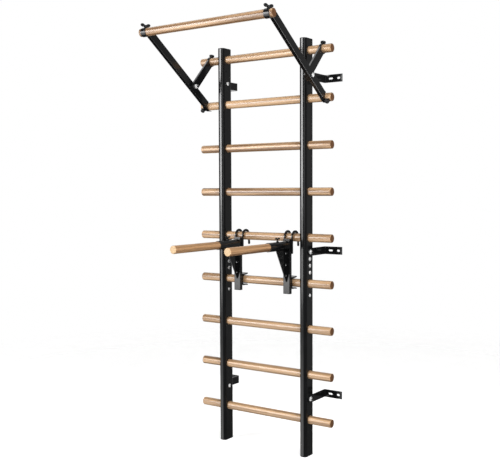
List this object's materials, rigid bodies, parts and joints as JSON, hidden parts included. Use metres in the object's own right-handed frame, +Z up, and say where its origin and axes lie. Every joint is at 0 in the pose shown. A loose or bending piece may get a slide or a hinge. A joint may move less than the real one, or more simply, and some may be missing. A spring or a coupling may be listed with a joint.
{
  "type": "swedish wall bars",
  "caption": "Wall-mounted exercise ladder of black steel uprights and round wooden rungs, with a hook-on folding pull-up bar and a pair of hook-on dip handles.",
  "frame": {"origin": "on the wall face, at floor level, midway between the two uprights", "axes": "+Z up, +Y into the wall, so the front looks towards -Y, +X to the right seen from the front"},
  "size_m": [0.8, 0.719, 2.1629],
  "materials": {
    "black_paint": "satin black powder coat",
    "wood": "clear-lacquered light hardwood",
    "zinc_steel": "bright zinc plated",
    "black_plastic": "moulded black plastic"
  },
  "bodies": {
    "wall_frame": {"left_upright_upper": "black_paint", "left_upright_lower": "black_paint", "left_splice_sleeve": "black_paint", "left_top_cap": "black_plastic", "left_bottom_cap": "black_plastic", "left_wall_strap_top": "black_paint", "left_strap_bolt_top": "zinc_steel", "left_wall_strap_middle": "black_paint", "left_strap_bolt_middle": "zinc_steel", "left_wall_strap_bottom": "black_paint", "left_strap_bolt_bottom": "zinc_steel", "left_splice_bolt_1": "zinc_steel", "left_splice_bolt_2": "zinc_steel", "left_splice_bolt_3": "zinc_steel", "left_accessory_bolt": "zinc_steel", "right_upright_upper": "black_paint", "right_upright_lower": "black_paint", "right_splice_sleeve": "black_paint", "right_top_cap": "black_plastic", "right_bottom_cap": "black_plastic", "right_wall_strap_top": "black_paint", "right_strap_bolt_top": "zinc_steel", "right_wall_strap_middle": "black_paint", "right_strap_bolt_middle": "zinc_steel", "right_wall_strap_bottom": "black_paint", "right_strap_bolt_bottom": "zinc_steel", "right_splice_bolt_1": "zinc_steel", "right_splice_bolt_2": "zinc_steel", "right_splice_bolt_3": "zinc_steel", "right_accessory_bolt": "zinc_steel", "rung_1": "wood", "rung_2": "wood", "rung_3": "wood", "rung_4": "wood", "rung_5": "wood", "rung_6": "wood", "rung_7": "wood", "rung_8": "wood", "rung_9": "wood"},
    "pullup_struts": {"left_strut": "black_paint", "left_pivot_bolt": "zinc_steel", "right_strut": "black_paint", "right_pivot_bolt": "zinc_steel"},
    "pullup_arms": {"left_arm": "black_paint", "right_arm": "black_paint"},
    "pullup_grip": {"pullup_bar": "wood"},
    "left_bar_screw": {"left_bar_wing_screw": "black_plastic"},
    "left_strut_screw": {"left_strut_knob": "black_plastic"},
    "left_arm_screw": {"left_arm_knob": "black_plastic"},
    "left_dip_screw": {"left_dip_wing_screw": "black_plastic"},
    "left_dip_unit": {"left_dip_bracket": "black_paint", "left_dip_post_cap": "black_plastic"},
    "left_dip_grip": {"left_dip_handle": "wood"},
    "right_bar_screw": {"right_bar_wing_screw": "black_plastic"},
    "right_strut_screw": {"right_strut_knob": "black_plastic"},
    "right_arm_screw": {"right_arm_knob": "black_plastic"},
    "right_dip_screw": {"right_dip_wing_screw": "black_plastic"},
    "right_dip_unit": {"right_dip_bracket": "black_paint", "right_dip_post_cap": "black_plastic"},
    "right_dip_grip": {"right_dip_handle": "wood"}
  },
  "joints": [
    {"name": "pullup_tilt", "type": "hinge", "parent": "wall_frame", "child": "pullup_struts", "pos_m": [0, -0.15, 2.04], "axis": [-1, 0, 0], "range_deg": [0, 30]},
    {"name": "pullup_fold", "type": "hinge", "parent": "pullup_struts", "child": "pullup_arms", "pos_m": [0, -0.28848, 1.89497], "axis": [-1, 0, 0], "range_deg": [0, 40]},
    {"name": "pullup_bar_slide", "type": "slide", "parent": "pullup_arms", "child": "pullup_grip", "axis": [1, 0, 0], "range_m": [0, 0.72]},
    {"name": "left_bar_screw_turn", "type": "hinge", "parent": "pullup_arms", "child": "left_bar_screw", "pos_m": [-0.359, -0.65156, 2.15165], "axis": [0, 0, 1], "continuous": true},
    {"name": "left_strut_screw_turn", "type": "hinge", "parent": "pullup_struts", "child": "left_strut_screw", "pos_m": [-0.3437, -0.15, 2.04], "axis": [0, 0.2588, 0.9659], "continuous": true},
    {"name": "left_arm_screw_turn", "type": "hinge", "parent": "pullup_arms", "child": "left_arm_screw", "pos_m": [-0.383, -0.15, 1.803], "axis": [0, -0.7071, -0.7071], "continuous": true},
    {"name": "left_dip_tilt", "type": "hinge", "parent": "wall_frame", "child": "left_dip_unit", "pos_m": [-0.141, -0.15, 1.11], "axis": [-1, 0, 0], "range_deg": [0, 40]},
    {"name": "left_dip_handle_slide", "type": "slide", "parent": "left_dip_unit", "child": "left_dip_grip", "axis": [0, -1, 0], "range_m": [-0.019, 0.131]},
    {"name": "left_dip_screw_turn", "type": "hinge", "parent": "left_dip_unit", "child": "left_dip_screw", "pos_m": [-0.141, -0.281, 1.095], "axis": [0, 0, 1], "continuous": true},
    {"name": "right_bar_screw_turn", "type": "hinge", "parent": "pullup_arms", "child": "right_bar_screw", "pos_m": [0.359, -0.65156, 2.15165], "axis": [0, 0, 1], "continuous": true},
    {"name": "right_strut_screw_turn", "type": "hinge", "parent": "pullup_struts", "child": "right_strut_screw", "pos_m": [0.3437, -0.15, 2.04], "axis": [0, 0.2588, 0.9659], "continuous": true},
    {"name": "right_arm_screw_turn", "type": "hinge", "parent": "pullup_arms", "child": "right_arm_screw", "pos_m": [0.383, -0.15, 1.803], "axis": [0, -0.7071, -0.7071], "continuous": true},
    {"name": "right_dip_tilt", "type": "hinge", "parent": "wall_frame", "child": "right_dip_unit", "pos_m": [0.164, -0.15, 1.11], "axis": [-1, 0, 0], "range_deg": [0, 40]},
    {"name": "right_dip_handle_slide", "type": "slide", "parent": "right_dip_unit", "child": "right_dip_grip", "axis": [0, -1, 0], "range_m": [0, 0.15]},
    {"name": "right_dip_screw_turn", "type": "hinge", "parent": "right_dip_unit", "child": "right_dip_screw", "pos_m": [0.164, -0.281, 1.095], "axis": [0, 0, 1], "continuous": true}
  ]
}
